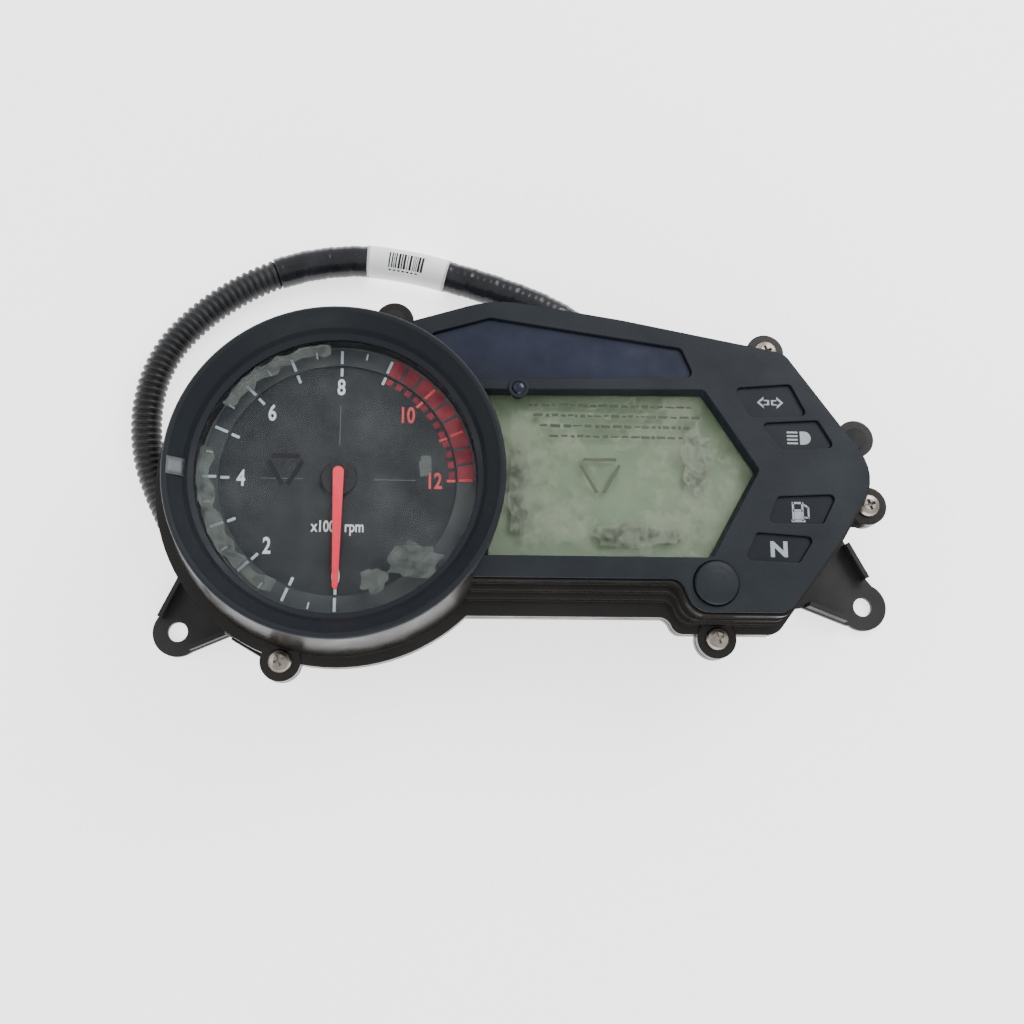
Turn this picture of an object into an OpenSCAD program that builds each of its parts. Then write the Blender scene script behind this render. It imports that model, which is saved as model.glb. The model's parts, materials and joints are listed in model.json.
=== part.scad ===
// Motorcycle instrument cluster, lying on its back: a round tachometer overlaps a wide display
// panel at its left. +Z leaves the face, +Y points to the top of the display, +X to its right.
// Origin: middle of the body's footprint, on the underside of the mounting bracket. Millimetres.

/* [Tachometer] */
// Position of the dial's axis along X
dial_x = -62.5; // [-63:0.1:-62]
// Position of the dial's axis along Y
dial_y = 0; // [-0.5:0.1:0.5]
// Radius of the ring around the dial
ring_r = 51.8; // [51.5:0.1:52]
// Height of the ring's rim
rim_z = 57.6; // [57:0.1:58]
// Radius of the can behind the dial
can_r = 46; // [45:0.5:46]
// Top of the dial plate
dial_z = 42.3; // [42:0.1:42.5]

/* [Case] */
// Top of the bracket plate, where the can stands
can_z = 2; // [1.5:0.1:2.5]
// Underside of the tray behind the display
tray_z = 15; // [14:0.5:17]
// Top of the rear case's flange
split_z = 31; // [30.5:0.1:31]
// Thickness of the gasket between the two flanges
gasket_t = 0.8; // [0.6:0.1:1]
// Thickness of the case walls
wall = 2.2; // [1.8:0.1:2.4]
// Height of the display panel's face
face_z = 49; // [48.8:0.1:49.2]
// Radius of the lobes that the case screws go through
lobe_r = 6.3; // [5.5:0.1:6.5]

/* [Bracket] */
// Radius of the holes in the two lugs
lug_hole_r = 3.3; // [3:0.1:4]
// Radius of the lugs
lug_r = 8.3; // [7.5:0.1:8.5]

/* [Controls] */
// Radius of the push button
button_r = 6.85; // [6:0.05:6.9]
// Travel of the push button
button_travel = 1.5; // [1:0.1:1.5]
// Length of the needle from its axis to its tip
needle_l = 35; // [32:0.5:36]

/* [Harness] */
// Radius of the corrugated conduit
conduit_r = 5.2; // [4.5:0.1:5.2]

/* [Hidden] */
$fn = 96;
front_z = split_z + gasket_t;
lobe_z = front_z + 3;
step_z = 38;
tray_inset = 1.5;
mask_z = face_z - 2;
lens_z = 44.6;
board_z = 29;
motor_z = 29.2;
lcd_x = 46.6;
button_at = [117, -32.7];
sensor_at = [56, 28.8];
rotor_at = [0, -12];
gear_module = 0.6;
connector_at = [98, 10];
lugs = [[-55, -43.5], [180, -32.9]];
screw_lobes = [[-16.7, -56.1], [120, -48.2], [171.7, -4.2], [139.9, 47.9]];
plug_lobes = [[168.8, 18.5], [16.1, 56]];
lobes = concat(screw_lobes, plug_lobes);
board_posts = [[-24, -20], [-24, 20], [24, 20], [58, -19], [100, 18], [150, 2]];
base_screws = [[-18, 0], [12, 16], [12, -16]];

// The display panel's face, from the dial's axis, anticlockwise from its lower left corner
panel = [
    [30, -31.3], [106, -31.3], [110.5, -41.6], [139.8, -41.6], [157.4, -18.5],
    [170.4, 3], [142, 42.6], [89, 52.6], [48.6, 58.7], [12, 47.3]
];
panel_round = [1, 4, 7, 6, 30, 15, 6, 60, 40, 1];
// How far the wall's foot and the flange stand out from each edge of the face
foot_gaps = [5.2, 3.5, 2.4, 1.6, 1.6, 2.6, 2.6, 2.6, 2.6, -2];
flange_gaps = [10.2, 5.5, 5.2, 2.9, 2.9, 4.3, 4.3, 4.3, 4.3, -1];

// Windows in the face, from the dial's axis
lcd_window = [[38, -23.9], [116, -23.9], [131.4, 3.6], [115, 29], [38, 27.6]];
warning_window = [[43, 31.7], [112.6, 33.7], [108.4, 43.6], [46.9, 52.4], [26, 46]];
turn_window = [[129.9, 21], [148.8, 21.7], [143.5, 32.3], [125.1, 30.6]];
beam_window = [[139.7, 10.3], [157.2, 11.3], [151.9, 20.4], [132.8, 19.1]];
fuel_window = [[134.1, -13.5], [151.9, -13.5], [157, -3.8], [137.7, -4.8]];
neutral_window = [[126.3, -25.3], [143.6, -26], [149.1, -17.7], [130.5, -16.4]];
telltales = [turn_window, beam_window, fuel_window, neutral_window];

// The harness's route, from the dial's axis: out of the snout, round the dial and under the tray
route = [
    [-31.2, -42, 12], [-34.7, -40, 12], [-40.5, -34.5, 12], [-46.5, -26.5, 11.5], [-52.5, -17, 9.5],
    [-58, -6.5, 7.4], [-63, 3.5, 6.1], [-67, 14, 5.7], [-68.9, 25.5, 5.7], [-68.6, 36.5, 5.7],
    [-66, 47.5, 5.7], [-60.5, 58, 5.7], [-51.5, 68, 5.7], [-39.8, 77, 5.7], [-26.5, 84, 5.7],
    [-12, 88.3, 5.7], [4, 89.8, 5.7], [20, 88, 5.7], [34.5, 84.6, 5.7], [52, 79.4, 5.7],
    [68.5, 72.9, 5.7], [82, 64.5, 5.7], [92, 54, 5.7], [97, 42, 5.7], [98, 31, 5.7]
];
label_route = [route[16], route[17], route[18]];

function unit(v) = v / norm(v);

// Outward normal of the edge that leaves corner i of an anticlockwise outline
function edge_normal(points, i) =
    let (edge = unit(points[(i + 1) % len(points)] - points[i])) [edge.y, -edge.x];

// The outline's corners after each edge has moved outwards by its gap
function pushed(points, gaps) = [
    for (i = [0:len(points) - 1])
        let (
            before = (i + len(points) - 1) % len(points),
            a = edge_normal(points, before),
            b = edge_normal(points, i),
            c = a * b
        )
        points[i] + (a * (gaps[before] - gaps[i] * c) + b * (gaps[i] - gaps[before] * c)) / (1 - c * c)
];

function same(points, gap) = [for (p = points) gap];

// Seven points of the arc of radius r that rounds corner b, between its neighbours a and c
function corner_arc(a, b, c, r) =
    let (
        u = unit(a - b),
        v = unit(c - b),
        half = acos(u * v) / 2,
        cut = min(r / tan(half), 0.45 * norm(a - b), 0.45 * norm(c - b)),
        arc_r = cut * tan(half),
        mid = b + unit(u + v) * arc_r / sin(half),
        from = b + u * cut - mid,
        to = b + v * cut - mid,
        start = atan2(from.y, from.x),
        whole = atan2(to.y, to.x) - start,
        turn = whole > 180 ? whole - 360 : whole < -180 ? whole + 360 : whole
    )
    [for (i = [0:6]) mid + arc_r * [cos(start + turn * i / 6), sin(start + turn * i / 6)]];

function rounded(points, radii) =
    let (n = len(points))
    [for (i = [0:n - 1]) each corner_arc(points[(i + n - 1) % n], points[i], points[(i + 1) % n], radii[i])];

function panel_path(gaps) = rounded(pushed(panel, gaps), panel_round);

function window_path(points, gap, r) = rounded(pushed(points, same(points, gap)), same(points, r));

function heading(points, i) = unit(points[min(i + 1, len(points) - 1)] - points[max(i - 1, 0)]);

module from_dial() translate([dial_x, dial_y, 0]) children();

module at(places, z = 0) for (p = places) translate([p.x, p.y, z]) children();

module slab(points, low, high) translate([0, 0, low]) linear_extrude(high - low) polygon(points);

module disc(r, low, high) translate([0, 0, low]) cylinder(r = r, h = high - low);

// Solid between two outlines with the same number of points
module loft(low_points, high_points, low, high) {
    n = len(low_points);
    polyhedron(
        points = [for (p = low_points) [p.x, p.y, low], for (p = high_points) [p.x, p.y, high]],
        faces = [
            [for (i = [0:n - 1]) i],
            [for (i = [0:n - 1]) 2 * n - 1 - i],
            for (i = [0:n - 1]) [i, n + i, n + (i + 1) % n],
            for (i = [0:n - 1]) [i, n + (i + 1) % n, (i + 1) % n]
        ]
    );
}

// Round tube along a route
module tube(points, r, sides = 10) {
    n = len(points);
    last = (n - 1) * sides;
    polyhedron(
        points = [
            for (i = [0:n - 1])
                let (ahead = heading(points, i), side = unit(cross([0, 0, 1], ahead)), up = cross(ahead, side))
                for (k = [0:sides - 1])
                    points[i] + r * (cos(360 * k / sides) * side + sin(360 * k / sides) * up)
        ],
        faces = [
            [for (k = [0:sides - 1]) k],
            [for (k = [0:sides - 1]) last + sides - 1 - k],
            for (i = [0:n - 2], k = [0:sides - 1])
                [i * sides + k, (i + 1) * sides + k, (i + 1) * sides + (k + 1) % sides],
            for (i = [0:n - 2], k = [0:sides - 1])
                [i * sides + k, (i + 1) * sides + (k + 1) % sides, i * sides + (k + 1) % sides]
        ]
    );
}

// Pan-head screw with a cross recess; its head starts at z 0 and its shank goes down
module pan_screw(head_r, head_h, shank_r, shank_l) {
    difference() {
        rotate_extrude()
            polygon([
                [0, 0], [head_r, 0], [head_r, head_h * 0.4], [head_r * 0.85, head_h * 0.8],
                [head_r * 0.5, head_h], [0, head_h]
            ]);
        for (turn = [0, 90])
            rotate(turn + 20)
                translate([-head_r * 0.5, -head_r * 0.12, head_h * 0.45])
                    cube([head_r, head_r * 0.24, head_h]);
    }
    translate([0, 0, -shank_l]) cylinder(r = shank_r, h = shank_l);
}

module gear_shape(teeth) {
    pitch_r = gear_module * teeth / 2;
    root_r = pitch_r - gear_module * 1.15;
    tip_r = pitch_r + gear_module * 0.8;
    circle(r = root_r);
    for (i = [0:teeth - 1])
        rotate(360 * i / teeth)
            polygon([[root_r - 0.2, -0.42], [tip_r, -0.14], [tip_r, 0.14], [root_r - 0.2, 0.42]]);
}

// Plan of both flanges
module flange_shape() {
    circle(r = 58);
    polygon(panel_path(flange_gaps));
    for (p = lobes) translate(p) circle(r = lobe_r);
}

module front_mask() color([0.22, 0.25, 0.3]) from_dial() {
    difference() {
        union() {
            slab(panel_path(same(panel, 0)), mask_z, face_z);
            slab(window_path(lcd_window, 3, 2), lens_z, mask_z);
            translate([sensor_at.x, sensor_at.y, lens_z]) cylinder(r = 3.2, h = face_z + 0.9 - lens_z);
        }
        disc(ring_r - 0.4, lens_z - 1, face_z + 1);
        slab(window_path(warning_window, 0.8, 2), mask_z - 1.9, mask_z);
        at([button_at], lens_z - 1) cylinder(r = 8.5, h = mask_z - lens_z + 1);
        loft(window_path(lcd_window, 0, 1.5), window_path(lcd_window, 0.8, 2), lens_z - 0.1, face_z + 0.1);
        difference() {
            slab(window_path(warning_window, 0, 2), mask_z - 1, face_z + 1);
            disc(53.4, 0, 60);
        }
        for (w = telltales) slab(window_path(w, 0, 1.5), mask_z - 1, face_z + 1);
        translate([button_at.x, button_at.y, 0]) disc(button_r + 0.35, mask_z - 1, face_z + 1);
        translate([sensor_at.x, sensor_at.y, 0]) disc(2.2, lens_z - 1, face_z + 2);
    }
    rotate_extrude($fn = 160)
        polygon([
            [43.2, face_z + 0.4], [43.2, face_z + 1], [45, face_z + 2], [46.2, face_z + 4],
            [49, rim_z - 1.5], [50, rim_z - 0.3], [51, rim_z], [ring_r - 0.2, rim_z - 0.4],
            [ring_r, rim_z - 1], [ring_r, 55.2], [49.7, 55.2], [47.6, face_z + 3.6], [46.4, face_z + 0.4]
        ]);
    intersection() {
        difference() {
            disc(ring_r, lens_z + 0.2, 56);
            disc(49.7, lens_z, 60);
        }
        union() {
            slab(panel_path(same(panel, -0.05)), mask_z - 0.2, 60);
            slab(panel_path(same(panel, -wall - 0.2)), lens_z, mask_z);
        }
    }
}

module front_case() color([0.2, 0.18, 0.17]) from_dial() difference() {
    union() {
        translate([0, 0, front_z]) cylinder(r1 = 55, r2 = 51.6, h = 55 - front_z);
        slab(panel_path(foot_gaps), front_z + 0.5, step_z);
        slab(panel_path((foot_gaps + same(panel, 0.9)) / 2), step_z - 1, step_z + 3.5);
        slab(panel_path(same(panel, 0.9)), step_z + 2, mask_z);
        translate([0, 0, front_z]) linear_extrude(2.5) flange_shape();
        at(lobes, front_z) cylinder(r = lobe_r, h = 3);
    }
    translate([0, 0, front_z - 0.1]) cylinder(r1 = 55 - wall, r2 = 51.6 - wall, h = 55.2 - front_z);
    slab(panel_path(same(panel, -wall)), front_z - 1, 60);
    slab(panel_path(same(panel, 0.1)), mask_z - 0.3, 61);
    at(screw_lobes, front_z - 1) cylinder(r = 2.2, h = 6);
    at(plug_lobes, front_z - 1) cylinder(r = 3, h = 6);
    at(screw_lobes, lobe_z) cylinder(r = 4.1, h = mask_z - lobe_z + 1);
    at([button_at], 41) cylinder(r = 8.3, h = 11);
}

module rear_case() color([0.13, 0.13, 0.14]) from_dial() {
    difference() {
        union() {
            disc(can_r, can_z, split_z);
            slab(panel_path(same(panel, -tray_inset)), tray_z, split_z);
            translate([0, 0, split_z - 3]) linear_extrude(3) flange_shape();
            at(lobes, split_z - 11) cylinder(r = 4.2, h = 8.5);
            rotate(240) translate([can_r - 3, -6, 5]) cube([58.6 - can_r + 3, 12, 14]);
            at([[150, -24]], can_z) cylinder(r = 5, h = tray_z + 1 - can_z);
        }
        disc(can_r - wall, can_z + wall, split_z + 1);
        slab(panel_path(same(panel, -tray_inset - wall)), tray_z + wall, split_z + 1);
        at(screw_lobes, split_z - 10) cylinder(r = 1.95, h = 12);
        at(plug_lobes, split_z - 2) cylinder(r = 3, h = 3);
        at(base_screws, 0) cylinder(r = 2.25, h = 6);
        rotate(240) translate([52, -6.1, 12]) rotate([-90, 0, 0]) cylinder(r = 4, h = 8.1);
        rotate(240) translate([can_r - 4, -2, 9]) cube([10, 4, 6]);
        at([[60, 35]], tray_z - 1) cylinder(r = 2, h = 5);
    }
    at([board_posts[0], board_posts[1], board_posts[2]], can_z + wall - 0.1) board_post(board_z - 1.6 - can_z - wall + 0.1);
    at([board_posts[3], board_posts[4], board_posts[5]], tray_z + wall - 0.1)
        board_post(board_z - 1.6 - tray_z - wall + 0.1);
}

module board_post(height) difference() {
    cylinder(r = 3, h = height);
    translate([0, 0, height - 8]) cylinder(r = 1.35, h = 9);
}

module gasket() color([0.05, 0.05, 0.05]) from_dial() translate([0, 0, split_z]) linear_extrude(gasket_t)
    difference() {
        union() {
            circle(r = 56.8);
            polygon(panel_path(flange_gaps - same(panel, 1.2)));
        }
        circle(r = 53.4);
        polygon(panel_path(same(panel, -2)));
        for (p = lobes) translate(p) circle(r = 3.4);
    }

module case_screws() color([0.7, 0.66, 0.62]) from_dial()
    at(screw_lobes, lobe_z) pan_screw(3.65, 2.4, 1.9, 12);

module lobe_plug() color([0.1, 0.1, 0.1]) from_dial() at(plug_lobes) {
    disc(2.9, split_z - 1.9, lobe_z + 0.2);
    disc(3.6, lobe_z, lobe_z + 0.9);
}

module tacho_lens() color([0.8, 0.85, 0.9, 0.3]) from_dial() disc(45.3, 47.6, 49.2);

module tacho_film() color([0.9, 0.92, 0.95, 0.2]) from_dial() disc(42.9, 49.2, 49.3);

module lcd_lens() color([0.8, 0.85, 0.8, 0.3]) from_dial() difference() {
    intersection() {
        slab(window_path(lcd_window, 3.2, 2), lens_z - 1.5, lens_z);
        translate([lcd_x, -50, 0]) cube([100, 100, 60]);
    }
    at([button_at], 0) cylinder(r = 8.5, h = 60);
}

module lcd_film() color([0.9, 0.95, 0.85, 0.2]) from_dial() intersection() {
    slab(window_path(lcd_window, -0.4, 1.5), lens_z, lens_z + 0.1);
    difference() {
        translate([lcd_x, -50, 0]) cube([100, 100, 60]);
        disc(ring_r + 0.3, 0, 60);
    }
}

module warning_lens() color([0.16, 0.19, 0.32]) from_dial() difference() {
    union() {
        slab(window_path(warning_window, -0.1, 2), mask_z - 0.2, face_z - 1.4);
        slab(window_path(warning_window, 0.4, 2), mask_z - 1.6, mask_z - 0.1);
    }
    disc(53.6, 0, 60);
}

// Telltale lens: a plate in its window with a rim under the mask
module telltale(window) {
    slab(window_path(window, -0.12, 1.5), mask_z - 0.2, face_z - 1);
    slab(window_path(window, 0.4, 1.5), mask_z - 1.4, mask_z - 0.1);
}

module turn_lens() color([0.2, 0.22, 0.26]) from_dial() telltale(turn_window);

module beam_lens() color([0.2, 0.22, 0.26]) from_dial() telltale(beam_window);

module fuel_lens() color([0.2, 0.22, 0.26]) from_dial() telltale(fuel_window);

module neutral_lens() color([0.2, 0.22, 0.26]) from_dial() telltale(neutral_window);

module sensor_window() color([0.3, 0.34, 0.42]) from_dial() at([sensor_at]) rotate_extrude()
    polygon([
        [0, lens_z + 0.1], [2.1, lens_z + 0.1], [2.1, face_z + 0.9], [1.6, face_z + 1.4],
        [0.8, face_z + 1.7], [0, face_z + 1.8]
    ]);

module mode_button() color([0.2, 0.22, 0.27]) from_dial() at([button_at]) {
    rotate_extrude()
        polygon([
            [0, 43.4], [7.7, 43.4], [7.7, 44.7], [button_r, 44.7], [button_r, face_z + 1.1],
            [button_r - 0.4, face_z + 1.7], [button_r - 1.6, face_z + 2], [3, face_z + 2.3], [0, face_z + 2.4]
        ]);
    disc(2, board_z + 4.1 + button_travel, 43.5);
}

module button_spring() color([0.75, 0.75, 0.72]) from_dial() at([button_at])
    tube(
        [for (i = [0:60]) [3.95 * cos(30 * i), 3.95 * sin(30 * i), board_z + 0.5 + (43.4 - board_z - 1) * i / 60]],
        0.3, 6
    );

module button_seal() color([0.08, 0.08, 0.08]) from_dial() at([button_at]) difference() {
    disc(8.2, 45, mask_z);
    disc(button_r + 0.3, 44, mask_z + 1);
}

module tact_switch() color([0.15, 0.15, 0.16]) from_dial() at([button_at]) {
    translate([-2.5, -2.5, board_z]) cube([5, 5, 3.4]);
    disc(1.7, board_z + 3.3, board_z + 4);
}

module dial_plate() color([0.16, 0.17, 0.19]) from_dial() difference() {
    disc(44.4, dial_z - 0.8, dial_z);
    disc(1.8, dial_z - 2, dial_z + 1);
}

module chapter_ring() color([0.24, 0.25, 0.28]) from_dial() difference() {
    disc(43.2, dial_z, dial_z + 1);
    disc(37, dial_z - 1, dial_z + 2);
}

module dial_surround() color([0.09, 0.09, 0.1]) from_dial() difference() {
    disc(45.4, dial_z, 47.5);
    disc(43.4, dial_z - 1, 48);
}

module needle_pointer() color([0.9, 0.15, 0.2]) from_dial() translate([0, 0, dial_z + 1.4]) linear_extrude(0.9) {
    translate([0, 2]) circle(r = 1.7);
    polygon([[-1.7, 2], [-0.9, -needle_l + 1], [-0.4, -needle_l], [0.4, -needle_l], [0.9, -needle_l + 1], [1.7, 2]]);
}

module needle_hub() color([0.08, 0.08, 0.09]) from_dial() difference() {
    union() {
        disc(5.4, dial_z + 0.5, dial_z + 1.1);
        disc(2.4, dial_z + 0.5, dial_z + 1.4);
    }
    disc(1, dial_z, dial_z + 0.9);
}

module output_gear() color([0.85, 0.83, 0.75]) from_dial() {
    translate([0, 0, 32]) linear_extrude(2) rotate(-90) gear_shape(30);
    disc(1, 29.9, dial_z + 0.9);
}

module rotor() color([0.3, 0.3, 0.32]) from_dial() translate([rotor_at.x, rotor_at.y, 0]) {
    translate([0, 0, 31.8]) linear_extrude(2.4) rotate(90 + 18) gear_shape(10);
    disc(6, 34.6, 36);
    disc(1, 29.9, 37.2);
    disc(2, 34.1, 34.7);
}

// Plan of the motor, grown by a gap
module motor_shape(gap) translate([-13 - gap, -22 - gap]) square([26 + 2 * gap, 34 + 2 * gap]);

module motor_case() color([0.12, 0.12, 0.13]) from_dial() difference() {
    translate([0, 0, motor_z]) linear_extrude(7.2) motor_shape(0);
    translate([0, 0, motor_z + 1.8]) linear_extrude(8) motor_shape(-1.5);
    disc(1.04, 29.8, 32);
    translate([rotor_at.x, rotor_at.y, 0]) disc(1.04, 29.8, 32);
}

module motor_lid() color([0.12, 0.12, 0.13]) from_dial() difference() {
    translate([0, 0, motor_z + 7.2]) linear_extrude(1.6) motor_shape(0);
    disc(1.04, 36, 39);
    translate([rotor_at.x, rotor_at.y, 0]) disc(1.04, 36, 37.3);
}

module light_box() color([0.92, 0.92, 0.9]) from_dial() {
    difference() {
        disc(40, board_z, dial_z - 0.8);
        disc(38, board_z - 1, dial_z);
    }
    difference() {
        intersection() {
            slab(window_path(lcd_window, 3.2, 2), board_z, 40.2);
            translate([lcd_x, -50, 0]) cube([100, 100, 60]);
        }
        intersection() {
            slab(window_path(lcd_window, 2, 2), board_z - 1, 41);
            translate([lcd_x + 1.2, -50, 0]) cube([100, 100, 60]);
        }
    }
    translate([39.5, -5, board_z]) cube([lcd_x - 39, 10, 5]);
}

module lcd_glass() color([0.6, 0.66, 0.52]) from_dial() difference() {
    intersection() {
        slab(window_path(lcd_window, 2.6, 2), 40.3, 42.9);
        translate([lcd_x + 0.4, -50, 0]) cube([100, 100, 60]);
    }
    at([button_at], 0) cylinder(r = 8.5, h = 60);
}

module lcd_backlight() color([0.95, 0.97, 0.9]) from_dial() intersection() {
    slab(window_path(lcd_window, 1.6, 2), 37.4, 40.1);
    translate([lcd_x + 1.6, -22, 0]) cube([100, 100, 60]);
}

module lcd_connector() color([0.85, 0.6, 0.65]) from_dial()
    translate([52, -25.2, board_z]) cube([58, 2.4, 40.2 - board_z]);

module circuit_board() color([0.1, 0.35, 0.2]) from_dial() difference() {
    translate([0, 0, board_z - 1.6]) linear_extrude(1.6) {
        circle(r = 42.6);
        polygon(panel_path(same(panel, -6.2)));
        translate(button_at) circle(r = 4.8);
    }
    at(board_posts, board_z - 3) cylinder(r = 1.7, h = 6);
}

// Lamps around the dial, and one behind the middle of each telltale
module board_leds() color([0.95, 0.9, 0.7]) from_dial() {
    for (turn = [22.5:45:337.5]) rotate(turn) translate([31.5, -1.4, board_z]) cube([3.5, 2.8, 1.2]);
    for (w = telltales)
        translate([(w[0].x + w[2].x) / 2 - 1.75, (w[0].y + w[2].y) / 2 - 1.4, board_z]) cube([3.5, 2.8, 1.2]);
}

module control_chip() color([0.08, 0.08, 0.08]) from_dial() {
    translate([78, -7, board_z]) cube([14, 14, 1.6]);
    translate([62, 8, board_z]) cube([8, 5, 1.4]);
}

module board_capacitors() color([0.2, 0.22, 0.35]) from_dial()
    at([[-30, 6], [-30, -6], [75, 20]], board_z - 1.6 - 9) cylinder(r = 4, h = 9);

module wire_header() color([0.9, 0.88, 0.8]) from_dial()
    translate([-14, -34, board_z - 1.6 - 8]) cube([24, 7, 8]);

module board_screws() color([0.75, 0.75, 0.75]) from_dial()
    at(board_posts, board_z) pan_screw(2.6, 1.5, 1.3, 8);

module breather_vent() color([0.1, 0.1, 0.1]) from_dial() at([[60, 35]]) {
    disc(5, tray_z - 1.6, tray_z);
    disc(1.9, tray_z - 0.1, tray_z + 2);
}

// Pressed-steel plate with a wide pad under the can and an arm out to each lug
module bracket() color([0.14, 0.14, 0.15]) from_dial() difference() {
    union() {
        linear_extrude(can_z) {
            circle(r = 30);
            for (p = lugs) translate(p) circle(r = lug_r);
            polygon([[-62.8, -41], [-54, -22], [-15, 20], [22, -26], [-35, -43.6], [-52, -51]]);
            polygon([
                [12, -22], [130, -22], [160, 5], [170, -1], [174.6, -9.7], [181.9, -23.3], [187.1, -29.4],
                [182.4, -40.5], [173.8, -39.3], [158.5, -33.3], [130, -38], [12, -38]
            ]);
        }
        upturned([-55, -24.2], [-61.6, -38.4], 4);
        upturned([-50, -50.1], [-37, -44.5], 4);
        upturned([181.6, -22.8], [175.1, -10.6], 5);
        upturned([159.3, -33.6], [172.6, -38.8], 5);
        upturned([30, -38], [130, -38], 4);
        upturned([125, -22], [45, -22], 4);
    }
    at(lugs, -1) cylinder(r = lug_hole_r, h = 8);
    at(base_screws, -1) cylinder(r = 2.05, h = 6);
}

// Upturned edge between two points of the plate's outline, on their left side
module upturned(a, b, height) {
    ahead = unit(b - a);
    inside = [-ahead.y, ahead.x];
    slab([a + inside * 0.3, b + inside * 0.3, b + inside * 1.9, a + inside * 1.9], can_z - 0.7, can_z + height);
}

module bracket_screws() color([0.7, 0.7, 0.7]) from_dial()
    at(base_screws, can_z + wall) pan_screw(4, 2.4, 2, can_z + wall - 0.4);

module harness_grommet() color([0.07, 0.07, 0.07]) from_dial() rotate(240)
    translate([52, -10, 12]) rotate([-90, 0, 0]) difference() {
        cylinder(r = 6, h = 3.95);
        translate([0, 0, -1]) cylinder(r = 5.45, h = 6);
    }

module harness_conduit() color([0.1, 0.1, 0.1]) from_dial() tube(route, conduit_r);

module harness_label() color([0.92, 0.92, 0.9]) from_dial() difference() {
    tube(label_route, conduit_r + 0.4);
    tube(route, conduit_r + 0.02);
}

module harness_wires() color([0.6, 0.2, 0.2]) from_dial()
    for (x = [-3:3:3], z = [-2.2:2.2:2.2])
        translate([connector_at.x + x, 25, 5.7 + z]) rotate([-90, 0, 0]) cylinder(r = 0.8, h = 5.3, $fn = 24);

module harness_connector() color([0.85, 0.85, 0.82]) from_dial() difference() {
    translate([connector_at.x - 11, connector_at.y - 15, 0.2]) cube([22, 30, 11]);
    for (x = [-8:4:8], z = [3, 8.4])
        translate([connector_at.x + x - 1, connector_at.y - 16, z - 1]) cube([2, 12, 2]);
}

module connector_lock() color([0.75, 0.3, 0.2]) from_dial()
    translate([connector_at.x - 5, connector_at.y - 12, 11.2]) {
        cube([10, 4, 1]);
        translate([1, 4, 0]) cube([8, 14, 0.8]);
    }

front_mask();
front_case();
rear_case();
gasket();
case_screws();
lobe_plug();
tacho_lens();
tacho_film();
lcd_lens();
lcd_film();
warning_lens();
turn_lens();
beam_lens();
fuel_lens();
neutral_lens();
sensor_window();
mode_button();
button_spring();
button_seal();
tact_switch();
dial_plate();
chapter_ring();
dial_surround();
needle_pointer();
needle_hub();
output_gear();
rotor();
motor_case();
motor_lid();
light_box();
lcd_glass();
lcd_backlight();
lcd_connector();
circuit_board();
board_leds();
control_chip();
board_capacitors();
wire_header();
board_screws();
breather_vent();
bracket();
bracket_screws();
harness_grommet();
harness_conduit();
harness_label();
harness_wires();
harness_connector();
connector_lock();
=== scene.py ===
"""Looks of the motorcycle instrument cluster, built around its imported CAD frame. Metres."""
import json
import math
import random

import bpy
from mathutils import Matrix, Vector


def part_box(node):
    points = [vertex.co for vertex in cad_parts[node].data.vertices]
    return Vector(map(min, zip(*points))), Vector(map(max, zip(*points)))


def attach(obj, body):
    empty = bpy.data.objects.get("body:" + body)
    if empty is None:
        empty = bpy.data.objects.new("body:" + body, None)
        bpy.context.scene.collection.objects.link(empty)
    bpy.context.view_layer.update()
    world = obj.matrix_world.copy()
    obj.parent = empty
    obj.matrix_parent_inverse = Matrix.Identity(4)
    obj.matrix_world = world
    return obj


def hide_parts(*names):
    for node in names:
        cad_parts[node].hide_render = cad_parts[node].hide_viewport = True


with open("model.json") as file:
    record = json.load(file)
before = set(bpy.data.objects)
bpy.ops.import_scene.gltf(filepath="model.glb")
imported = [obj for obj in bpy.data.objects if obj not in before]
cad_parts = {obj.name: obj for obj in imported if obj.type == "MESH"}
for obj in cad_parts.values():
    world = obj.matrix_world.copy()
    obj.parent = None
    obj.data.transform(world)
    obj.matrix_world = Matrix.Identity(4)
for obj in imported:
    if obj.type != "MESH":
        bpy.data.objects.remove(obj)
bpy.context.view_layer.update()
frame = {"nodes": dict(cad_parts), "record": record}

MM = 0.001


def box_mm(node):
    """A node's lowest and highest corners in millimetres."""
    low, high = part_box(node)
    return [v / MM for v in low], [v / MM for v in high]


# Places that the frame gives
plate_low, plate_high = box_mm("dial_plate")
DIAL = ((plate_low[0] + plate_high[0]) / 2, (plate_low[1] + plate_high[1]) / 2)
DIAL_Z = plate_high[2]
CHAPTER_Z = box_mm("chapter_ring")[1][2]
FILM_Z = box_mm("tacho_film")[1][2]
LCD_FILM_Z = box_mm("lcd_film")[1][2]
TELLTALE_Z = box_mm("turn_lens")[1][2]
CONDUIT_R = 5.2

# Camera, in metres in the frame, and its lens in millimetres
CAMERA_PLACE = (-0.0332, -0.0917, 0.4095)
CAMERA_AHEAD = (0.0665, 0.2175, -0.9738)
CAMERA_LENS = 42.2

# Tachometer scale: zero points down and the numbers run clockwise
TOP_NUMBER = 12
DEGREES_PER_NUMBER = 22.5
REDLINE_FROM = 9


def from_dial(x, y, z):
    """A point in metres from millimetres measured from the dial's axis."""
    return Vector(((DIAL[0] + x) * MM, (DIAL[1] + y) * MM, z * MM))


def dial_angle(number):
    """Angle of a number on the scale, anticlockwise from +X."""
    return math.radians(-90 - number * DEGREES_PER_NUMBER)


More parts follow.
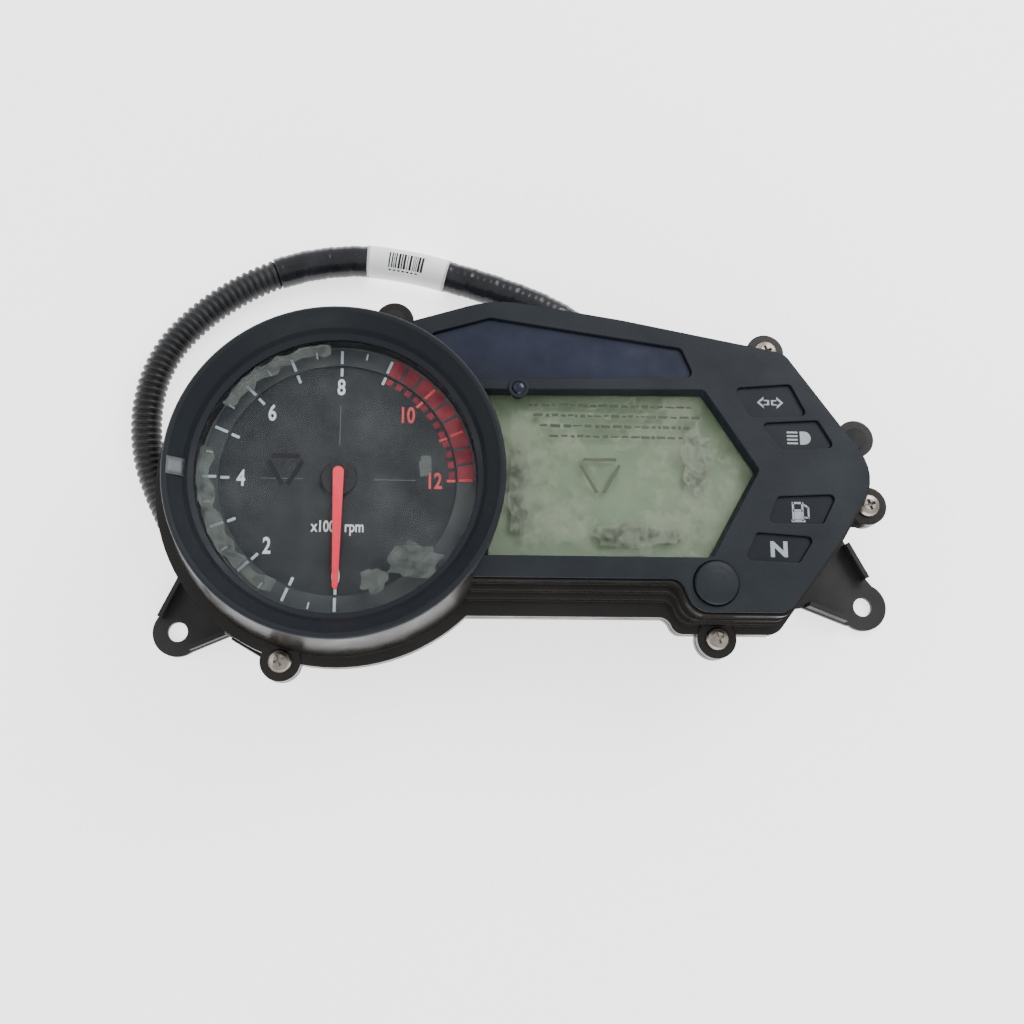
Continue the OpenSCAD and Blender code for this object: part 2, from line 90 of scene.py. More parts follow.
def make_camera():
    ahead = Vector(CAMERA_AHEAD).normalized()
    right = ahead.cross(Vector((0, 1, 0))).normalized()
    up = right.cross(ahead)
    data = bpy.data.cameras.new("camera")
    data.sensor_width = 36
    data.lens = CAMERA_LENS
    data.clip_start = 0.01
    camera = bpy.data.objects.new("camera", data)
    bpy.context.collection.objects.link(camera)
    turn = Matrix((right, up, -ahead)).transposed().to_4x4()
    camera.matrix_world = Matrix.Translation(Vector(CAMERA_PLACE)) @ turn
    bpy.context.scene.camera = camera


# Materials
def set_input(node, name, value):
    if name in node.inputs:
        node.inputs[name].default_value = value


def new_material(name):
    material = bpy.data.materials.new(name)
    material.use_nodes = True
    tree = material.node_tree
    return material, tree, tree.nodes["Principled BSDF"]


def object_noise(tree, scale, detail=4.0, stretch=(1, 1, 1), rough=0.55):
    """Noise over object coordinates; scale is in cycles per metre."""
    where = tree.nodes.new("ShaderNodeTexCoord")
    mapping = tree.nodes.new("ShaderNodeMapping")
    mapping.inputs["Scale"].default_value = stretch
    noise = tree.nodes.new("ShaderNodeTexNoise")
    set_input(noise, "Scale", scale)
    set_input(noise, "Detail", detail)
    set_input(noise, "Roughness", rough)
    tree.links.new(where.outputs["Object"], mapping.inputs["Vector"])
    tree.links.new(mapping.outputs["Vector"], noise.inputs["Vector"])
    return noise.outputs["Fac"]


def ramp(tree, value, low, high, start=0.0, end=1.0):
    """Maps value from low..high to start..end, clamped."""
    node = tree.nodes.new("ShaderNodeMapRange")
    node.inputs["From Min"].default_value = low
    node.inputs["From Max"].default_value = high
    node.inputs["To Min"].default_value = start
    node.inputs["To Max"].default_value = end
    tree.links.new(value, node.inputs["Value"])
    return node.outputs["Result"]


def mix_colour(tree, fac, a, b):
    node = tree.nodes.new("ShaderNodeMix")
    node.data_type = "RGBA"
    tree.links.new(fac, node.inputs[0])
    for socket, value in ((node.inputs[6], a), (node.inputs[7], b)):
        if isinstance(value, tuple):
            socket.default_value = (*value, 1)
        else:
            tree.links.new(value, socket)
    return node.outputs[2]


def moulded(name, colour, lighter, rough=(0.4, 0.55), grain=(900, 0.00003), edge=0.0003, metal=0.0,
            cloud=60, stretch=(1, 1, 1), specular=0.32):
    """Moulded, cast or painted surface: cloudy colour, uneven gloss, fine grain and softened edges."""
    material, tree, shader = new_material(name)
    clouds = object_noise(tree, cloud, 5)
    base = mix_colour(tree, ramp(tree, clouds, 0.35, 0.7), colour, lighter)
    tree.links.new(base, shader.inputs["Base Color"])
    fine = object_noise(tree, grain[0], 3, stretch)
    smudges = object_noise(tree, cloud * 2.3, 6)
    tree.links.new(ramp(tree, smudges, 0.3, 0.7, rough[0], rough[1]), shader.inputs["Roughness"])
    shader.inputs["Metallic"].default_value = metal
    set_input(shader, "Specular IOR Level", specular)
    bevel = tree.nodes.new("ShaderNodeBevel")
    bevel.samples = 4
    bevel.inputs["Radius"].default_value = edge
    bump = tree.nodes.new("ShaderNodeBump")
    bump.inputs["Strength"].default_value = 0.55
    bump.inputs["Distance"].default_value = grain[1]
    tree.links.new(fine, bump.inputs["Height"])
    tree.links.new(bevel.outputs["Normal"], bump.inputs["Normal"])
    tree.links.new(bump.outputs["Normal"], shader.inputs["Normal"])
    return material


def mask_material():
    """Slate textured plastic, darker and bluer on the ring around the dial."""
    material = moulded("mask_texture", (0.009, 0.012, 0.0165), (0.017, 0.021, 0.027),
                       (0.42, 0.58), (1500, 0.00008), 0.0005, cloud=35, specular=0.2)
    tree = material.node_tree
    shader = tree.nodes["Principled BSDF"]
    panel_colour = shader.inputs["Base Color"].links[0].from_socket
    where = tree.nodes.new("ShaderNodeTexCoord")
    distance = tree.nodes.new("ShaderNodeVectorMath")
    distance.operation = "DISTANCE"
    flat = tree.nodes.new("ShaderNodeVectorMath")
    flat.operation = "MULTIPLY"
    flat.inputs[1].default_value = (1, 1, 0)
    distance.inputs[1].default_value = (DIAL[0] * MM, DIAL[1] * MM, 0)
    tree.links.new(where.outputs["Object"], flat.inputs[0])
    tree.links.new(flat.outputs[0], distance.inputs[0])
    on_panel = ramp(tree, distance.outputs["Value"], 0.0515, 0.0522)
    base = mix_colour(tree, on_panel, (0.011, 0.014, 0.018), panel_colour)
    tree.links.new(base, shader.inputs["Base Color"])
    return material


def clear_material(name, tint, rough, alpha=0.02):
    """Clear moulded lens: faint tint, fine scratches in its gloss."""
    material, tree, shader = new_material(name)
    scratches = object_noise(tree, 500, 6, (1, 6, 1))
    tree.links.new(ramp(tree, scratches, 0.3, 0.7, rough, rough + 0.08), shader.inputs["Roughness"])
    tint_noise = object_noise(tree, 40)
    darker = tuple(c * 0.9 for c in tint)
    tree.links.new(mix_colour(tree, tint_noise, tint, darker), shader.inputs["Base Color"])
    shader.inputs["Alpha"].default_value = alpha
    set_input(shader, "Specular IOR Level", 0.5)
    return material


def film_material(name, colour, patch_scale, low, high, strongest, clear=0.02, crease=0.0001):
    """Peeling protective film: clear with cloudy blisters and creases."""
    material, tree, shader = new_material(name)
    blisters = object_noise(tree, patch_scale, 7, (1, 1, 1), 0.62)
    mottle = object_noise(tree, patch_scale * 7, 4)
    patches = ramp(tree, blisters, low, high, clear, strongest)
    uneven = ramp(tree, mottle, 0.3, 0.7, 0.55, 1.0)
    both = tree.nodes.new("ShaderNodeMath")
    both.operation = "MULTIPLY"
    tree.links.new(patches, both.inputs[0])
    tree.links.new(uneven, both.inputs[1])
    tree.links.new(both.outputs[0], shader.inputs["Alpha"])
    shade = tuple(c * 0.75 for c in colour)
    tree.links.new(mix_colour(tree, mottle, colour, shade), shader.inputs["Base Color"])
    shader.inputs["Roughness"].default_value = 0.4
    bump = tree.nodes.new("ShaderNodeBump")
    bump.inputs["Distance"].default_value = crease
    tree.links.new(blisters, bump.inputs["Height"])
    tree.links.new(bump.outputs["Normal"], shader.inputs["Normal"])
    return material


def display_material():
    """Unlit liquid crystal: grey-green, a little darker and yellower towards its top, which is painted
    shade from the bezel wall above it.
    """
    material, tree, shader = new_material("lcd_grey_green")
    where = tree.nodes.new("ShaderNodeTexCoord")
    split = tree.nodes.new("ShaderNodeSeparateXYZ")
    tree.links.new(where.outputs["Object"], split.inputs[0])
    # painted shade: the display is drawn darker towards its top, where the bezel wall shades it
    top_shade = ramp(tree, split.outputs["Y"], -0.022, 0.03)
    base = mix_colour(tree, top_shade, (0.142, 0.195, 0.118), (0.108, 0.150, 0.080))
    patches = ramp(tree, object_noise(tree, 90, 6), 0.35, 0.7)
    mottled = mix_colour(tree, patches, base, (0.165, 0.222, 0.140))
    tree.links.new(mottled, shader.inputs["Base Color"])
    shader.inputs["Roughness"].default_value = 0.45
    return material


def make_materials():
    """Every material by the name of its record slot or piece."""
    return {
        "mask_plastic": mask_material(),
        "case_plastic": moulded("case_gloss", (0.007, 0.0062, 0.0056), (0.016, 0.014, 0.012),
                                (0.22, 0.4), (1200, 0.00002), 0.0005, cloud=40, specular=0.28),
        "black_rubber": moulded("black_rubber", (0.008, 0.008, 0.008), (0.018, 0.018, 0.018), (0.6, 0.8)),
        "nickel_steel": moulded("nickel_screws", (0.20, 0.18, 0.155), (0.40, 0.36, 0.32),
                                (0.22, 0.42), (1800, 0.00002), 0.0002, 1.0, 200, (1, 8, 1)),
        "clear_lens": clear_material("clear_lens", (0.10, 0.12, 0.13), 0.05),
        "clear_film": film_material("cloudy_film", (0.22, 0.25, 0.25), 42, 0.5, 0.7, 0.06, 0.0),
        "blister": film_material("film_blister", (0.26, 0.30, 0.28), 260, 0.3, 0.6, 0.34, 0.10),
        "lcd_film": film_material("lcd_film", (0.42, 0.48, 0.36), 75, 0.48, 0.62, 0.22, 0.0, 0.00001),
        "lcd_blister": film_material("lcd_blister", (0.44, 0.50, 0.38), 300, 0.3, 0.6, 0.30, 0.06,
                                     0.000002),
        "smoked_lens": moulded("smoked_lens", (0.008, 0.011, 0.025), (0.015, 0.019, 0.040),
                               (0.14, 0.28), (1600, 0.00001), 0.0003, cloud=70),
        "telltale_lens": moulded("telltale_lens", (0.006, 0.008, 0.012), (0.012, 0.015, 0.021),
                                 (0.35, 0.5), (1600, 0.00001), 0.0002, specular=0.2),
        "black_plastic": moulded("black_plastic", (0.012, 0.012, 0.014), (0.022, 0.022, 0.024)),
        "dial_print": moulded("dial_face", (0.017, 0.020, 0.024), (0.034, 0.038, 0.042),
                              (0.5, 0.65), (2500, 0.00001), 0.0001, cloud=90),
        "chapter": moulded("chapter_face", (0.035, 0.040, 0.046), (0.070, 0.078, 0.080),
                           (0.45, 0.6), (2500, 0.00001), 0.0001, cloud=70),
        "needle_red": moulded("needle_red", (0.86, 0.025, 0.06), (0.95, 0.06, 0.10),
                              (0.35, 0.45), (2500, 0.00001), 0.0002),
        "white_plastic": moulded("white_plastic", (0.72, 0.71, 0.66), (0.8, 0.79, 0.75)),
        "magnet": moulded("ferrite_magnet", (0.04, 0.04, 0.045), (0.07, 0.07, 0.075), (0.4, 0.6)),
        "lcd_green": display_material(),
        "contact_rubber": moulded("contact_rubber", (0.6, 0.25, 0.3), (0.7, 0.35, 0.4)),
        "board_green": moulded("board_green", (0.01, 0.09, 0.035), (0.02, 0.14, 0.05), (0.25, 0.4)),
        "led_amber": moulded("led_amber", (0.8, 0.7, 0.35), (0.9, 0.85, 0.6), (0.2, 0.3)),
        "capacitor_blue": moulded("capacitor_sleeve", (0.015, 0.02, 0.09), (0.03, 0.035, 0.13), (0.2, 0.3)),
        "black_steel": moulded("powder_coat", (0.011, 0.011, 0.012), (0.024, 0.023, 0.022),
                               (0.4, 0.6), (1400, 0.00006), 0.0004, cloud=50),
        "conduit_black": moulded("conduit_black", (0.010, 0.010, 0.011), (0.024, 0.025, 0.027),
                                 (0.3, 0.5), (700, 0.00004), 0.0001, cloud=45),
        "tape_black": moulded("tape_black", (0.008, 0.009, 0.011), (0.020, 0.022, 0.027),
                              (0.16, 0.34), (500, 0.00008), 0.0001, cloud=120),
        "label_paper": moulded("label_paper", (0.88, 0.89, 0.89), (0.94, 0.95, 0.95), (0.45, 0.6)),
        "wire_colours": moulded("wire_skin", (0.35, 0.03, 0.02), (0.42, 0.06, 0.03), (0.35, 0.5)),
        "lock_red": moulded("lock_red", (0.4, 0.04, 0.02), (0.5, 0.07, 0.04)),
        "print_white": moulded("print_white", (0.66, 0.69, 0.70), (0.80, 0.83, 0.84), (0.5, 0.6)),
        "print_blue": moulded("print_pale_blue", (0.38, 0.52, 0.58), (0.58, 0.68, 0.72), (0.5, 0.6)),
        "print_red": moulded("print_red", (0.58, 0.05, 0.06), (0.68, 0.12, 0.11), (0.5, 0.6)),
        "redline": moulded("redline_band", (0.15, 0.016, 0.028), (0.30, 0.04, 0.055), (0.5, 0.6),
                           cloud=160),
        "print_dark": moulded("print_dark", (0.050, 0.062, 0.045), (0.085, 0.10, 0.07), (0.5, 0.6)),
        "print_faint": moulded("print_faint", (0.07, 0.08, 0.085), (0.11, 0.12, 0.12), (0.5, 0.6)),
        "print_black": moulded("print_black", (0.008, 0.008, 0.009), (0.014, 0.014, 0.015), (0.5, 0.6)),
        "icon": moulded("icon_pale", (0.30, 0.34, 0.36), (0.42, 0.46, 0.47), (0.5, 0.6)),
        "tab_grey": moulded("tab_grey", (0.12, 0.135, 0.14), (0.19, 0.21, 0.21), (0.35, 0.5), cloud=200),
    }


def dress_cad():
    """Gives each CAD node's material slots the material of its record slot."""
    slots = {s["node"]: s["material_slot"] for s in frame["record"]["subparts"]}
    special = {"chapter_ring": "chapter", "lcd_film": "lcd_film"}
    for node, objects in frame["nodes"].items():
        material = LOOKS[special.get(node, slots[node])]
        for obj in objects if isinstance(objects, (list, tuple)) else [objects]:
            if not obj.material_slots:
                obj.data.materials.append(material)
            for place in obj.material_slots:
                place.material = material


# Meshes
def add_mesh(name, points, faces, look, smooth=False, body="housing"):
    mesh = bpy.data.meshes.new(name)
    mesh.from_pydata([tuple(p) for p in points], [], faces)
    mesh.validate()
    mesh.update()
    obj = bpy.data.objects.new(name, mesh)
    bpy.context.collection.objects.link(obj)
    mesh.materials.append(LOOKS[look])
    for face in mesh.polygons:
        face.use_smooth = smooth
    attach(obj, body)
    return obj


def prints(name, outlines, z, look, thick=0.04, body="housing"):
    """Thin printed shapes, each a list of (x, y) in millimetres from the dial's axis."""
    points, faces = [], []
    for outline in outlines:
        start, n = len(points), len(outline)
        points += [from_dial(x, y, z) for x, y in outline]
        points += [from_dial(x, y, z + thick) for x, y in outline]
        faces.append([start + n - 1 - i for i in range(n)])
        faces.append([start + n + i for i in range(n)])
        for i in range(n):
            after = (i + 1) % n
            faces.append([start + i, start + after, start + n + after, start + n + i])
    return add_mesh(name, points, faces, look, body=body)


def bar(a, b, width, end_width=None):
    """Outline of a straight bar between two points."""
    ax, ay, bx, by = *a, *b
    length = math.hypot(bx - ax, by - ay)
    nx, ny = -(by - ay) / length, (bx - ax) / length
    w, e = width / 2, (end_width or width) / 2
    return [(ax - nx * w, ay - ny * w), (bx - nx * e, by - ny * e),
            (bx + nx * e, by + ny * e), (ax + nx * w, ay + ny * w)]


def polar(r, angle):
    return (r * math.cos(angle), r * math.sin(angle))


def sector(inner, outer, start, end, steps=6):
    """Outline of a band between two radii and two angles."""
    turn = [start + (end - start) * i / steps for i in range(steps + 1)]
    return [polar(outer, a) for a in turn] + [polar(inner, a) for a in reversed(turn)]


def lettering(name, text, size, centre, z, look, narrow=0.8, bold=0.02):
    """Printed characters as a thin mesh, centred on a point from the dial's axis."""
    curve = bpy.data.curves.new(name, "FONT")
    curve.body = text
    curve.size = size * MM * 1.38
    curve.align_x = "CENTER"
    curve.align_y = "CENTER"
    curve.offset = size * MM * bold
    curve.extrude = 0.00002
    draft = bpy.data.objects.new(name + "_draft", curve)
    bpy.context.collection.objects.link(draft)
    bpy.context.view_layer.update()
    mesh = bpy.data.meshes.new_from_object(draft.evaluated_get(bpy.context.evaluated_depsgraph_get()))
    bpy.data.objects.remove(draft)
    low = Vector([min(v.co[i] for v in mesh.vertices) for i in range(3)])
    high = Vector([max(v.co[i] for v in mesh.vertices) for i in range(3)])
    middle = (low + high) / 2
    place = from_dial(centre[0], centre[1], z)
    for v in mesh.vertices:
        v.co = Vector(((v.co.x - middle.x) * narrow, v.co.y - middle.y, v.co.z - low.z)) + place
    mesh.name = name
    obj = bpy.data.objects.new(name, mesh)
    bpy.context.collection.objects.link(obj)
    mesh.materials.clear()
    mesh.materials.append(LOOKS[look])
    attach(obj, "housing")
    return obj


# Tachometer prints
def make_scale():
    white, red = [], []
    for number in range(TOP_NUMBER + 1):
        angle = dial_angle(number)
        group = red if number > REDLINE_FROM else white
        group.append(bar(polar(37.6, angle), polar(41.9, angle), 0.9))
        prints(f"inner_tick_{number}", [bar(polar(33.8, angle), polar(36.5, angle), 0.9)], DIAL_Z,
               "print_red" if number > REDLINE_FROM else "print_blue")
    half_angles = [dial_angle(n + 0.5) for n in range(REDLINE_FROM)]
    halves = [bar(polar(39.8, a), polar(41.9, a), 0.5) for a in half_angles]
    prints("outer_ticks", white + halves, CHAPTER_Z, "print_blue")
    prints("outer_red_ticks", red, CHAPTER_Z + 0.05, "print_red")
    step = 1 / 3
    bands = []
    count = int((TOP_NUMBER - REDLINE_FROM) / step)
    for i in range(count):
        start = dial_angle(REDLINE_FROM + i * step + 0.03)
        end = dial_angle(REDLINE_FROM + (i + 1) * step - 0.03)
        bands.append(sector(42.6, 37.2, start, end))
    prints("redline_band", bands, CHAPTER_Z, "redline")
    blocks = [REDLINE_FROM + i * 0.25 for i in range(12)]
    inner = [sector(36.4, 34.4, dial_angle(n + 0.05), dial_angle(n + 0.2)) for n in blocks]
    prints("redline_blocks", inner, DIAL_Z, "redline")
    circle = [sector(42.9, 42.5, math.radians(a), math.radians(a - 30)) for a in range(-90, -360, -30)]
    prints("scale_circle", circle, CHAPTER_Z, "print_faint")


def make_numbers():
    for number in range(0, TOP_NUMBER + 1, 2):
        x, y = polar(30.2 if number else 30.8, dial_angle(number))
        look = "print_red" if number > REDLINE_FROM else "print_white"
        lettering(f"number_{number}", str(number), 5.2, (x, y), DIAL_Z, look, narrow=0.72, bold=0.035)
    lettering("unit_text", "x1000 rpm", 3.6, (0, -15.6), DIAL_Z, "print_white", narrow=0.74, bold=0.03)
    rays = [bar(polar(11, math.radians(a)), polar(24, math.radians(a)), 0.35) for a in (0, 90, 180)]
    prints("dial_rays", rays, DIAL_Z, "print_faint")


def triangle_mark(centre, radius, width, z, look, name, point_down):
    """A plain triangle of three separate bars."""
    turn = -90 if point_down else 90
    corners = [polar(radius, math.radians(turn + 120 * i)) for i in range(3)]
    bars = []
    for i in range(3):
        a, b = corners[i], corners[(i + 1) % 3]
        near = [a[k] + (b[k] - a[k]) * 0.14 + centre[k] for k in range(2)]
        far = [a[k] + (b[k] - a[k]) * 0.86 + centre[k] for k in range(2)]
        bars.append(bar(near, far, width))
    prints(name, bars, z, look)


def make_film_prints():
    """Faint dashes and triangles printed on the two protective films."""
    triangle_mark((-15.8, 1.9), 7.0, 1.5, FILM_Z, "print_black", "tacho_film_mark", True)
    triangle_mark((82.1, 3.0), 8.4, 1.0, LCD_FILM_Z, "print_dark", "lcd_film_mark", True)
    random.seed(4)
    dashes = []
    for row, (start, end) in enumerate(((59.5, 111), (61, 112), (63, 110), (66, 108))):
        x, y = start, 25.0 - row * 3.4
        while x < end:
            length = random.uniform(1.0, 3.2)
            end_y = y + random.uniform(-0.2, 0.2)
            dashes.append(bar((x, y), (x + length, end_y), random.uniform(0.5, 1.1)))
            x += length + random.uniform(0.4, 1.1)
    prints("lcd_film_dashes", dashes, LCD_FILM_Z, "print_dark")


def wobbly_band(inner, outer, start, end, seed, steps=16):
    """A band of the dial with torn edges."""
    random.seed(seed)
    turn = [start + (end - start) * i / steps for i in range(steps + 1)]
    out = [polar(outer + random.uniform(-1.2, 0.3), a) for a in turn]
    back = [polar(inner + random.uniform(-0.6, 1.6), a) for a in reversed(turn)]
    return out + back


def blob(x, y, across, high, seed, steps=22):
    """A torn round patch, anticlockwise."""
    random.seed(seed)
    points = []
    for i in range(steps):
        angle = 2 * math.pi * i / steps
        size = random.uniform(0.72, 1.1)
        points.append((x + across * size * math.cos(angle), y + high * size * math.sin(angle)))
    return points


def make_blisters():
    """Where the film has lifted: bands over the scale and patches on the dial and the display."""
    prints("dial_blister_top", [wobbly_band(37.6, 42.6, dial_angle(7.8), dial_angle(5.4), 3)], FILM_Z,
           "blister")
    prints("dial_blister_left", [wobbly_band(37.4, 42.6, dial_angle(4.5), dial_angle(1.2), 5)], FILM_Z,
           "blister")
    prints("dial_blister_low", [blob(24, -27, 9, 6.5, 8)], FILM_Z, "blister")
    prints("dial_blister_low_small", [blob(12, -33, 5, 4, 11)], FILM_Z, "blister")
    prints("dial_blister_right", [blob(27, 3, 2.2, 4.2, 13)], FILM_Z, "blister")
    prints("display_blister_left", [blob(56, -4, 3.5, 16, 21)], LCD_FILM_Z, "lcd_blister")
    prints("display_blister_low", [blob(92, -17, 16, 4.5, 23)], LCD_FILM_Z, "lcd_blister")
    prints("display_blister_right", [blob(113, 8, 5, 12, 27)], LCD_FILM_Z, "lcd_blister")


# Warning icons
def moved(outline, x, y, scale=1.0):
    return [(x + px * scale, y + py * scale) for px, py in outline]


def make_icons():
    mirror = 2 * 136.7 + 0.4
    arrow = [(0, 0), (2.2, 2), (2.2, 0.9), (4.0, 0.9), (4.0, -0.9), (2.2, -0.9), (2.2, -2)]
    left = moved(arrow, 132.6, 26.2)
    right = [(mirror - x, y) for x, y in reversed(left)]
    prints("turn_icon", [left, right], TELLTALE_Z, "icon")
    hollow = moved([(px * 0.6 + 0.9, py * 0.5) for px, py in arrow], 132.6, 26.2)
    hollow_right = [(mirror - x, y) for x, y in reversed(hollow)]
    prints("turn_icon_middle", [hollow, hollow_right], TELLTALE_Z + 0.05, "telltale_lens")
    bow = [math.radians(60 - 30 * i) for i in range(5)]
    round_end = [(1.4 + 2.2 * math.cos(a), 2.2 * math.sin(a)) for a in bow]
    bulb = [(0, 2.2), (1.4, 2.2)] + round_end + [(1.4, -2.2), (0, -2.2)]
    beams = [bar((-4.2, y), (-0.7, y), 0.6) for y in (1.8, 0.6, -0.6, -1.8)]
    headlamp = [list(reversed(bulb))] + beams
    prints("beam_icon", [moved(o, 146.0, 14.6) for o in headlamp], TELLTALE_Z, "icon")
    pump = [
        bar((-1.9, -3), (-1.9, 3), 0.7), bar((1.1, -3), (1.1, 3), 0.7),
        bar((-1.9, 2.7), (1.1, 2.7), 0.7), bar((-1.9, 0.3), (1.1, 0.3), 0.7),
        bar((-2.6, -3.1), (1.9, -3.1), 0.8), bar((-1.6, -1.3), (0.8, -1.3), 2.6),
        bar((1.4, 2.3), (3.0, 1.2), 0.6), bar((3.0, 1.4), (3.0, -2.2), 0.6),
        bar((1.3, -1.9), (3.1, -2.1), 0.5),
    ]
    prints("fuel_icon", [moved(o, 144.5, -9.4) for o in pump], TELLTALE_Z, "icon")
    lettering("neutral_icon", "N", 4.8, (137.5, -21.6), TELLTALE_Z, "icon", 1.15, 0.06)


def make_ring_tab():
    """Square of grey tape on the ring at nine o'clock."""
    profile = [(45.6, 52.6), (46.4, 54.25), (49.1, 56.55), (50.0, 57.65)]
    points, faces = [], []
    rows = 5
    for r, z in profile:
        for i in range(rows):
            y = -2.7 + 5.4 * i / (rows - 1) + 0.1
            x = -math.sqrt(r * r - y * y)
            points.append(from_dial(x, y, z - 0.12))
    for i in range(len(profile) - 1):
        for k in range(rows - 1):
            a = i * rows + k
            faces.append([a, a + 1, a + rows + 1, a + rows])
    tab = add_mesh("ring_tape_tab", points, faces, "tab_grey", True)
    solid = tab.modifiers.new("thickness", "SOLIDIFY")
    solid.thickness = 0.00008
    return tab


# Harness: the route's own points, in millimetres from the dial's axis
ROUTE = [
    (-31.2, -42, 12), (-34.7, -40, 12), (-40.5, -34.5, 12), (-46.5, -26.5, 11.5), (-52.5, -17, 9.5),
    (-58, -6.5, 7.4), (-63, 3.5, 6.1), (-67, 14, 5.7), (-68.9, 25.5, 5.7), (-68.6, 36.5, 5.7),
    (-66, 47.5, 5.7), (-60.5, 58, 5.7), (-51.5, 68, 5.7), (-39.8, 77, 5.7), (-26.5, 84, 5.7),
    (-12, 88.3, 5.7), (4, 89.8, 5.7), (20, 88, 5.7), (34.5, 84.6, 5.7), (52, 79.4, 5.7),
    (68.5, 72.9, 5.7), (82, 64.5, 5.7), (92, 54, 5.7), (97, 42, 5.7), (98, 31, 5.7),
]
# Route points where the paper label and the tape begin and end
LABEL_FROM, LABEL_TO = 16, 18
TAPE_FROM, TAPE_TO = 14, -3


def catmull_rom(a, b, c, d, t):
    square = 2 * a - 5 * b + 4 * c - d
    cube = 3 * b - a - 3 * c + d
    return 0.5 * ((2 * b) + (c - a) * t + square * t * t + cube * t ** 3)


def smooth_route():
    """Points about 0.3 mm apart along the route, and each route point's distance along it."""
    knots = [from_dial(*p) for p in ROUTE]
    ends = [2 * knots[0] - knots[1]] + knots + [2 * knots[-1] - knots[-2]]
    line, marks, travelled = [knots[0]], [0.0], 0.0
    for i in range(1, len(knots)):
        steps = max(4, int((knots[i] - knots[i - 1]).length / 0.0003))
        for k in range(1, steps + 1):
            point = catmull_rom(ends[i - 1], ends[i], ends[i + 1], ends[i + 2], k / steps)
            travelled += (point - line[-1]).length
            line.append(point)
        marks.append(travelled)
    return line, marks


class Track:
    """A smooth line that can be asked for a point and its directions at a distance along it."""

    def __init__(self, line):
        self.line = line
        self.far = [0.0]
        for a, b in zip(line, line[1:]):
            self.far.append(self.far[-1] + (b - a).length)
        self.length = self.far[-1]
        self.near = 0

    def at(self, distance):
        distance = min(max(distance, 0.0), self.length)
        if self.far[self.near] > distance:
            self.near = 0
        while self.near < len(self.far) - 2 and self.far[self.near + 1] < distance:
            self.near += 1
        i = self.near
        share = (distance - self.far[i]) / (self.far[i + 1] - self.far[i])
        point = self.line[i].lerp(self.line[i + 1], share)
        ahead = (self.line[min(i + 4, len(self.line) - 1)] - self.line[max(i - 3, 0)]).normalized()
        side = Vector((0, 0, 1)).cross(ahead).normalized()
        return point, side, ahead.cross(side)


def sweep(name, track, start, end, pitch, radius, look, sides=28, inner=None):
    """Tube between two distances; radius(distance, angle) in metres. inner gives a sleeve's bore radius."""
    count = max(2, int(round((end - start) / pitch)) + 1)
    points, faces = [], []
    for i in range(count):
        distance = start + (end - start) * i / (count - 1)
        point, side, up = track.at(distance)
        for k in range(sides):
            angle = 2 * math.pi * k / sides
            out = side * math.cos(angle) + up * math.sin(angle)
            points.append(point + out * radius(distance, angle))
    outer = len(points)
    for i in range(count - 1):
        for k in range(sides):
            a, b = i * sides + k, i * sides + (k + 1) % sides
            faces.append([a, b, b + sides, a + sides])
    if inner is None:
        faces.append([sides - 1 - k for k in range(sides)])
        faces.append([outer - sides + k for k in range(sides)])
    else:
        for i in range(count):
            point, side, up = track.at(start + (end - start) * i / (count - 1))
            for k in range(sides):
                angle = 2 * math.pi * k / sides
                points.append(point + (side * math.cos(angle) + up * math.sin(angle)) * inner)
        for i in range(count - 1):
            for k in range(sides):
                a, b = outer + i * sides + k, outer + i * sides + (k + 1) % sides
                faces.append([a, a + sides, b + sides, b])
        for k in range(sides):
            n = (k + 1) % sides
            faces.append([k, outer + k, outer + n, n])
            last = outer - sides
            faces.append([last + k, last + n, 2 * outer - sides + n, 2 * outer - sides + k])
    return add_mesh(name, points, faces, look, True)


def rib(distance, pitch=0.0024):
    """Height of a corrugation, from 0 in a valley to 1 on a crest, with flat tops."""
    wave = 0.5 + 0.5 * math.cos(2 * math.pi * distance / pitch)
    return min(1.0, wave * 1.35) ** 0.7


def make_harness():
    line, marks = smooth_route()
    track = Track(line)
    outer = CONDUIT_R * MM
    conduit = sweep("corrugated_conduit", track, 0, track.length, 0.0003,
                    lambda d, a: outer - 0.0009 * (1 - rib(d)), "conduit_black", 24)
    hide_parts("harness_conduit")

    def tape_r(distance, angle):
        lap = ((distance / 0.0085 + angle / (2 * math.pi)) % 1.0)
        return outer + 0.00016 + 0.00022 * lap + 0.00008 * math.sin(distance * 2600) * math.sin(3 * angle)

    label_from, label_to = marks[LABEL_FROM] + 0.001, marks[LABEL_TO] - 0.001
    tape = sweep("tape_wrap", track, marks[TAPE_FROM], marks[TAPE_TO], 0.0006, tape_r, "tape_black",
                 36, outer + 0.00002)
    label = sweep("paper_label", track, label_from, label_to, 0.0010, lambda d, a: outer + 0.00052,
                  "label_paper", 48, outer + 0.00047)
    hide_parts("harness_label")
    bars = make_bar_code(track, label_from, label_to, outer + 0.00053)


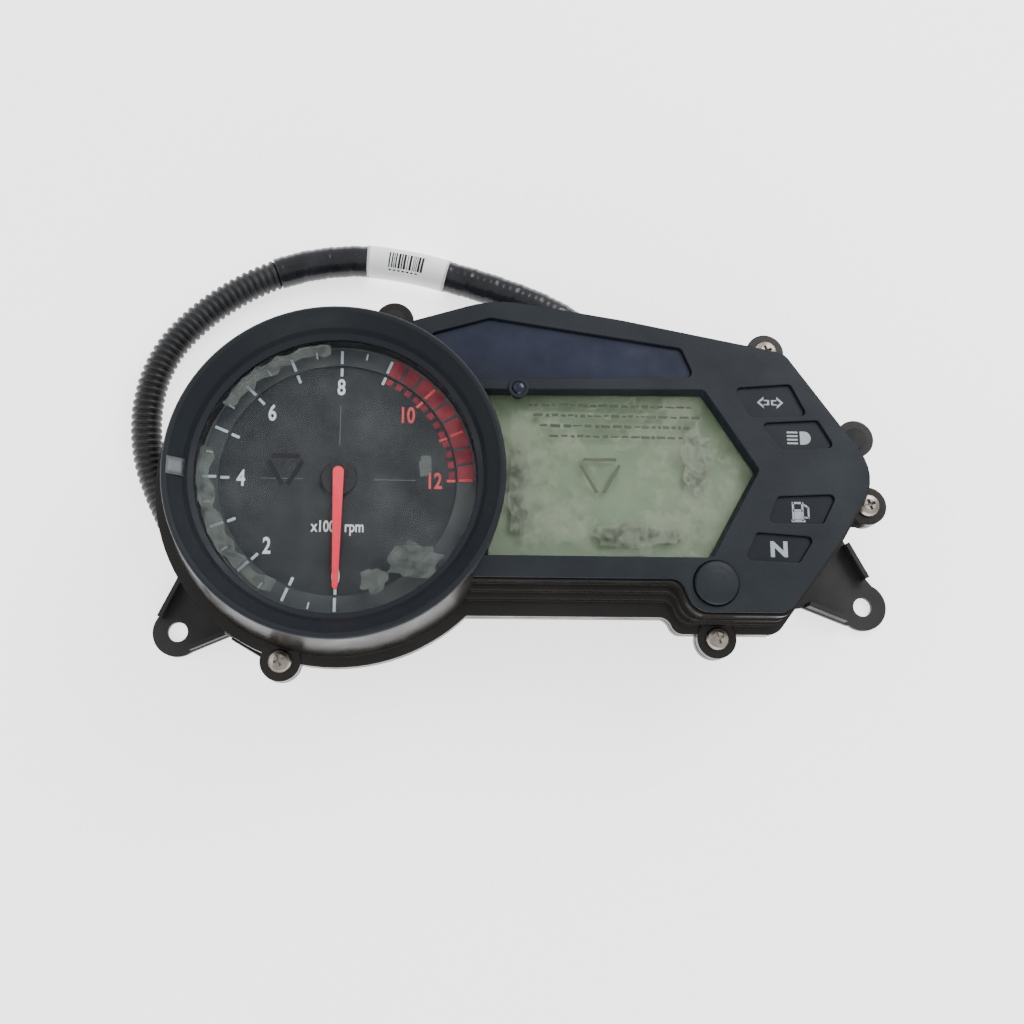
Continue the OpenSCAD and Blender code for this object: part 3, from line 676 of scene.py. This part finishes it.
def make_bar_code(track, start, end, radius):
    """Generic upright bars on the label's upper side, over a row of short dashes."""
    random.seed(9)
    points, faces = [], []

    def patch(s0, s1, a0, a1):
        base = len(points)
        steps = 8
        for s in (s0, s1):
            point, side, up = track.at(s)
            for i in range(steps + 1):
                angle = a0 + (a1 - a0) * i / steps
                points.append(point + (side * math.cos(angle) + up * math.sin(angle)) * radius)
        for i in range(steps):
            faces.append([base + i, base + steps + 1 + i, base + steps + 2 + i, base + i + 1])

    span = end - start
    s = start + span * 0.27
    while s < start + span * 0.68:
        width = random.choice((0.0003, 0.0005, 0.0008))
        patch(s, s + width, math.radians(66), math.radians(124))
        s += width + random.choice((0.0003, 0.0005))
    s = start + span * 0.28
    while s < start + span * 0.66:
        patch(s, s + 0.0009, math.radians(130), math.radians(135))
        s += 0.0016
    bars = add_mesh("label_bars", points, faces, "print_black")
    bars.modifiers.new("thickness", "SOLIDIFY").thickness = 0.00002
    return bars


# Stage
def make_stage():
    size, z = 1.6, -0.0002
    corners = [(-size, -size, z), (size, -size, z), (size, size, z), (-size, size, z)]
    mesh = bpy.data.meshes.new("floor")
    mesh.from_pydata(corners, [], [[0, 1, 2, 3]])
    floor = bpy.data.objects.new("floor", mesh)
    bpy.context.collection.objects.link(floor)
    material, tree, shader = new_material("pale_floor")
    shade = mix_colour(tree, object_noise(tree, 6), (0.93, 0.93, 0.93), (0.95, 0.95, 0.95))
    tree.links.new(shade, shader.inputs["Base Color"])
    shader.inputs["Roughness"].default_value = 0.8
    shader.inputs["Emission Color"].default_value = (1, 1, 1, 1)
    shader.inputs["Emission Strength"].default_value = 1.7
    mesh.materials.append(material)
    world = bpy.data.worlds.new("studio")
    bpy.context.scene.world = world
    world.use_nodes = True
    background = world.node_tree.nodes["Background"]
    background.inputs["Color"].default_value = (1, 1, 1, 1)
    background.inputs["Strength"].default_value = 1.0
    lamp("key", (0.45, 0.5, 0.6), (0.05, 0, 0.03), 0.5, 6)
    lamp("fill", (-0.7, 0.1, 0.5), (-0.03, 0, 0.03), 0.7, 2)
    lamp("front", (0.1, -0.7, 0.3), (0, 0, 0.03), 0.5, 2)


def lamp(name, place, target, size, power):
    data = bpy.data.lights.new(name, "AREA")
    data.size = size
    data.energy = power
    obj = bpy.data.objects.new(name, data)
    bpy.context.collection.objects.link(obj)
    aim = Vector(target) - Vector(place)
    turn = aim.to_track_quat("-Z", "Y").to_matrix().to_4x4()
    obj.matrix_world = Matrix.Translation(Vector(place)) @ turn


make_camera()
LOOKS = make_materials()
make_harness()
dress_cad()
make_scale()
make_numbers()
make_film_prints()
make_blisters()
make_icons()
make_ring_tab()
make_stage()
